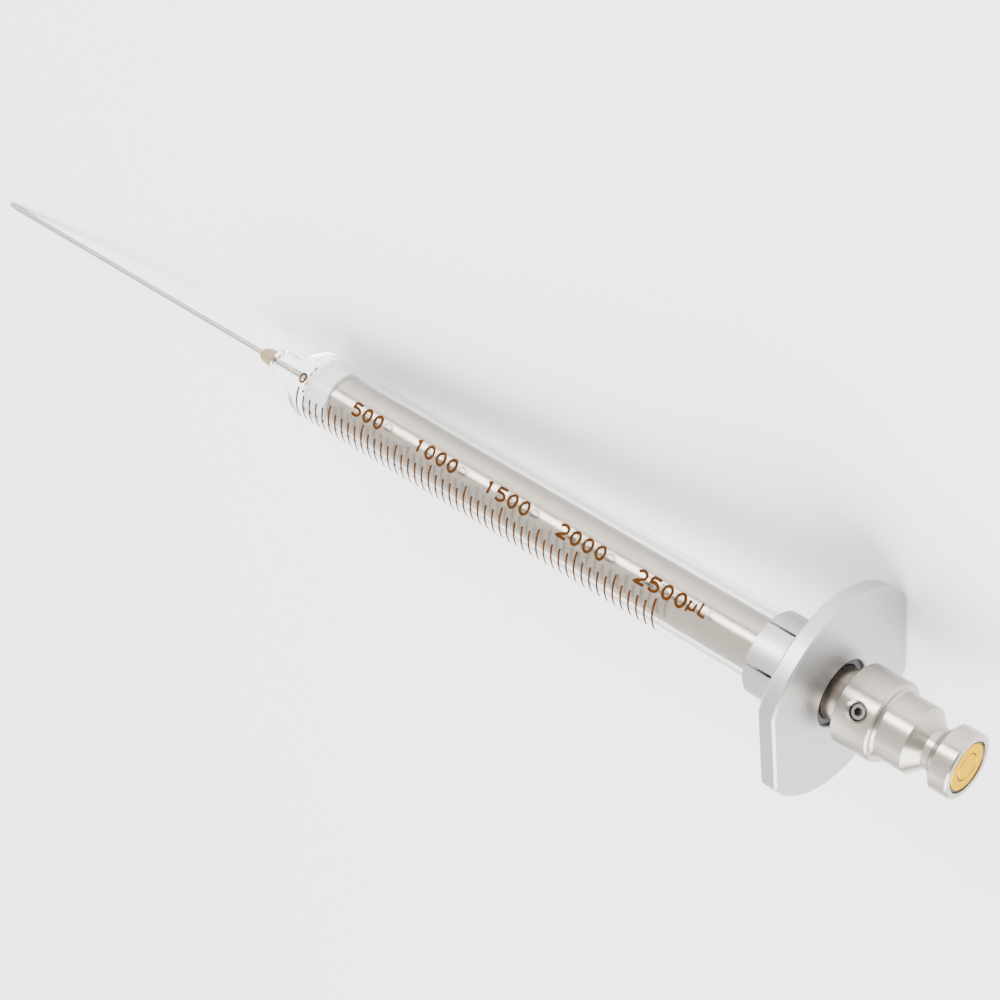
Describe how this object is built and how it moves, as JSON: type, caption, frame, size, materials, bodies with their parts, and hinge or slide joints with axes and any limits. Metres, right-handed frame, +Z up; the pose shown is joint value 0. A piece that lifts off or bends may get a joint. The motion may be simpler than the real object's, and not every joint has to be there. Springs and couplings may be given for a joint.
{
  "type": "microsyringe",
  "caption": "Fixed-needle glass microsyringe with a sliding steel plunger, a soft seal, a slotted-collar flange with two flats and a turned gripping button.",
  "frame": {"origin": "on the table, under the middle of the box round the whole syringe", "axes": "+X from the needle to the button along the table, +Z up; the syringe's own axis rises 4.28 degrees towards the button"},
  "size_m": [0.1668, 0.0252, 0.0228],
  "materials": {
    "glass": "clear borosilicate, polished",
    "needle_steel": "drawn stainless steel",
    "cement": "cured resin, beige",
    "satin_aluminium": "satin, clear anodised",
    "black_plastic": "moulded black",
    "white_fluoropolymer": "white fluoropolymer",
    "polished_steel": "ground and polished stainless steel",
    "turned_steel": "fine turned",
    "screw_steel": "machined",
    "gold_plate": "gold plated, satin",
    "scale_ink": "amber enamel fired on the glass"
  },
  "bodies": {
    "barrel": {"glass_barrel": "glass", "needle": "needle_steel", "needle_cement": "cement", "flange": "satin_aluminium", "guide_bush": "black_plastic"},
    "seal": {"plunger_seal": "white_fluoropolymer"},
    "plunger": {"plunger_rod": "polished_steel", "plunger_button": "turned_steel", "set_screw": "screw_steel", "chip_carrier": "black_plastic", "contact_ring": "gold_plate", "contact_pad": "gold_plate"}
  },
  "joints": [
    {"name": "plunger_slide", "type": "slide", "parent": "barrel", "child": "seal", "axis": [0.9972, 0, 0.0746], "range_m": [0, 0.06]},
    {"name": "plunger_turn", "type": "hinge", "parent": "seal", "child": "plunger", "pos_m": [-0.01178, 0, 0.00558], "axis": [0.9972, 0, 0.0746], "continuous": true}
  ]
}
